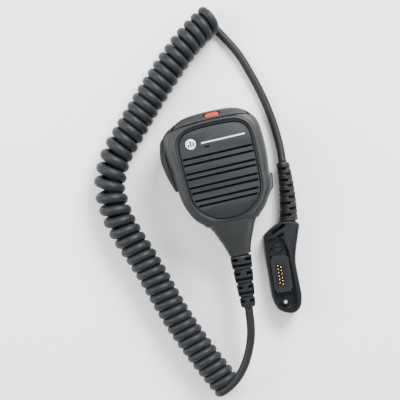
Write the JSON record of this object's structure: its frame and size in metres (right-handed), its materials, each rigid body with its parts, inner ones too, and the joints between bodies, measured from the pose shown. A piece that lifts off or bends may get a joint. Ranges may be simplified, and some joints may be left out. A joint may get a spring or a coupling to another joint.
{
  "type": "hand microphone",
  "caption": "Hand microphone with a slotted grille, a side talk key, an orange emergency button, a swivel garment clip and a curly cord to a side-contact plug.",
  "frame": {"origin": "on the surface the clip rests on, under the swivel axis of the clip", "axes": "+Z out of the speaker face, +Y towards the handset's top, +X to its right seen from the front"},
  "size_m": [0.1137, 0.2208, 0.0342],
  "materials": {
    "dark_shell": "fine textured moulded plastic",
    "panel_plastic": "satin moulded plastic",
    "plug_plastic": "satin moulded plastic",
    "contact_plastic": "smooth moulded plastic",
    "key_rubber": "ribbed soft rubber",
    "cord_rubber": "satin extruded jacket",
    "seal_rubber": "soft seal",
    "orange": "satin orange",
    "badge_white": "printed badge",
    "fabric": "woven acoustic cloth",
    "cone_paper": "pressed paper",
    "steel": "bright steel",
    "aluminium": "bright can",
    "brass": "plated brass",
    "gold": "gold plated",
    "board_green": "solder resist",
    "chip_black": "moulded black",
    "nylon_white": "natural nylon"
  },
  "bodies": {
    "handset": {"front_housing": "dark_shell", "top_cap": "dark_shell", "rear_housing": "dark_shell", "neck_shroud": "dark_shell", "grille_panel": "panel_plastic", "name_badge": "badge_white", "acoustic_mesh": "fabric", "perimeter_seal": "seal_rubber", "speaker_basket": "steel", "speaker_magnet": "steel", "speaker_gasket": "seal_rubber", "microphone_boot": "seal_rubber", "microphone_capsule": "aluminium", "circuit_board": "board_green", "amplifier_chip": "chip_black", "ptt_switch": "chip_black", "emergency_switch": "chip_black", "board_connector": "nylon_white", "audio_jack": "brass", "inner_cable": "cord_rubber", "strain_relief": "cord_rubber", "cord_tail": "cord_rubber", "coil_cord": "cord_rubber", "cord_lead": "cord_rubber", "plug_relief": "cord_rubber", "plug_housing": "plug_plastic", "plug_cover": "plug_plastic", "contact_block": "contact_plastic", "antenna_contact": "contact_plastic", "plug_board": "board_green", "case_screw_1": "steel", "case_screw_2": "steel", "case_screw_3": "steel", "case_screw_4": "steel"},
    "talk_key": {"ptt_key": "key_rubber", "ptt_plate": "chip_black"},
    "emergency_key": {"emergency_button": "orange"},
    "cone": {"speaker_cone": "cone_paper"},
    "jack_flap": {"jack_cover": "key_rubber"},
    "clip_swivel": {"clip_base": "dark_shell", "swivel_washer": "steel", "clip_screw": "steel", "hinge_pin": "steel", "clip_spring": "steel"},
    "clip_grip": {"clip_jaw": "dark_shell"},
    "plug_screw": {"thumbscrew": "steel", "thumbscrew_ring": "contact_plastic"},
    "pin_01": {"contact_pin_01": "gold"},
    "pin_02": {"contact_pin_02": "gold"},
    "pin_03": {"contact_pin_03": "gold"},
    "pin_04": {"contact_pin_04": "gold"},
    "pin_05": {"contact_pin_05": "gold"},
    "pin_06": {"contact_pin_06": "gold"},
    "pin_07": {"contact_pin_07": "gold"},
    "pin_08": {"contact_pin_08": "gold"},
    "pin_09": {"contact_pin_09": "gold"},
    "pin_10": {"contact_pin_10": "gold"},
    "pin_11": {"contact_pin_11": "gold"},
    "pin_12": {"contact_pin_12": "gold"}
  },
  "joints": [
    {"name": "ptt_press", "type": "slide", "parent": "handset", "child": "talk_key", "axis": [1, 0, 0], "range_m": [0, 0.0012], "stiffness_N_per_m": 3000, "springref_m": -0.0003},
    {"name": "emergency_press", "type": "slide", "parent": "handset", "child": "emergency_key", "axis": [0, -0.8192, -0.5736], "range_m": [0, 0.001], "stiffness_N_per_m": 3000, "springref_m": -0.0003},
    {"name": "cone_travel", "type": "slide", "parent": "handset", "child": "cone", "axis": [0, 0, 1], "range_m": [-0.0003, 0.0003], "stiffness_N_per_m": 1500},
    {"name": "jack_cover_open", "type": "hinge", "parent": "handset", "child": "jack_flap", "pos_m": [0.02714, -0.01076, 0.0166], "axis": [0, 0, 1], "range_deg": [0, 110]},
    {"name": "clip_turn", "type": "hinge", "parent": "handset", "child": "clip_swivel", "pos_m": [0, 0, 0.01], "axis": [0, 0, 1], "continuous": true},
    {"name": "clip_open", "type": "hinge", "parent": "clip_swivel", "child": "clip_grip", "pos_m": [0, 0.012, 0.0044], "axis": [1, 0, 0], "range_deg": [0, 20], "stiffness_Nm_per_rad": 0.12, "springref_deg": -28.65},
    {"name": "thumbscrew_turn", "type": "hinge", "parent": "handset", "child": "plug_screw", "pos_m": [0.01953, -0.08611, 0.006], "axis": [0, 0, 1], "continuous": true},
    {"name": "pin_01_press", "type": "slide", "parent": "handset", "child": "pin_01", "axis": [0, 0, -1], "range_m": [0, 0.0008], "stiffness_N_per_m": 1000, "springref_m": -0.0002},
    {"name": "pin_02_press", "type": "slide", "parent": "handset", "child": "pin_02", "axis": [0, 0, -1], "range_m": [0, 0.0008], "stiffness_N_per_m": 1000, "springref_m": -0.0002},
    {"name": "pin_03_press", "type": "slide", "parent": "handset", "child": "pin_03", "axis": [0, 0, -1], "range_m": [0, 0.0008], "stiffness_N_per_m": 1000, "springref_m": -0.0002},
    {"name": "pin_04_press", "type": "slide", "parent": "handset", "child": "pin_04", "axis": [0, 0, -1], "range_m": [0, 0.0008], "stiffness_N_per_m": 1000, "springref_m": -0.0002},
    {"name": "pin_05_press", "type": "slide", "parent": "handset", "child": "pin_05", "axis": [0, 0, -1], "range_m": [0, 0.0008], "stiffness_N_per_m": 1000, "springref_m": -0.0002},
    {"name": "pin_06_press", "type": "slide", "parent": "handset", "child": "pin_06", "axis": [0, 0, -1], "range_m": [0, 0.0008], "stiffness_N_per_m": 1000, "springref_m": -0.0002},
    {"name": "pin_07_press", "type": "slide", "parent": "handset", "child": "pin_07", "axis": [0, 0, -1], "range_m": [0, 0.0008], "stiffness_N_per_m": 1000, "springref_m": -0.0002},
    {"name": "pin_08_press", "type": "slide", "parent": "handset", "child": "pin_08", "axis": [0, 0, -1], "range_m": [0, 0.0008], "stiffness_N_per_m": 1000, "springref_m": -0.0002},
    {"name": "pin_09_press", "type": "slide", "parent": "handset", "child": "pin_09", "axis": [0, 0, -1], "range_m": [0, 0.0008], "stiffness_N_per_m": 1000, "springref_m": -0.0002},
    {"name": "pin_10_press", "type": "slide", "parent": "handset", "child": "pin_10", "axis": [0, 0, -1], "range_m": [0, 0.0008], "stiffness_N_per_m": 1000, "springref_m": -0.0002},
    {"name": "pin_11_press", "type": "slide", "parent": "handset", "child": "pin_11", "axis": [0, 0, -1], "range_m": [0, 0.0008], "stiffness_N_per_m": 1000, "springref_m": -0.0002},
    {"name": "pin_12_press", "type": "slide", "parent": "handset", "child": "pin_12", "axis": [0, 0, -1], "range_m": [0, 0.0008], "stiffness_N_per_m": 1000, "springref_m": -0.0002}
  ],
  "couplings": [
    {"joint": "pin_02_press", "follows": "pin_01_press", "ratio": 1},
    {"joint": "pin_03_press", "follows": "pin_01_press", "ratio": 1},
    {"joint": "pin_04_press", "follows": "pin_01_press", "ratio": 1},
    {"joint": "pin_05_press", "follows": "pin_01_press", "ratio": 1},
    {"joint": "pin_06_press", "follows": "pin_01_press", "ratio": 1},
    {"joint": "pin_07_press", "follows": "pin_01_press", "ratio": 1},
    {"joint": "pin_08_press", "follows": "pin_01_press", "ratio": 1},
    {"joint": "pin_09_press", "follows": "pin_01_press", "ratio": 1},
    {"joint": "pin_10_press", "follows": "pin_01_press", "ratio": 1},
    {"joint": "pin_11_press", "follows": "pin_01_press", "ratio": 1},
    {"joint": "pin_12_press", "follows": "pin_01_press", "ratio": 1}
  ]
}
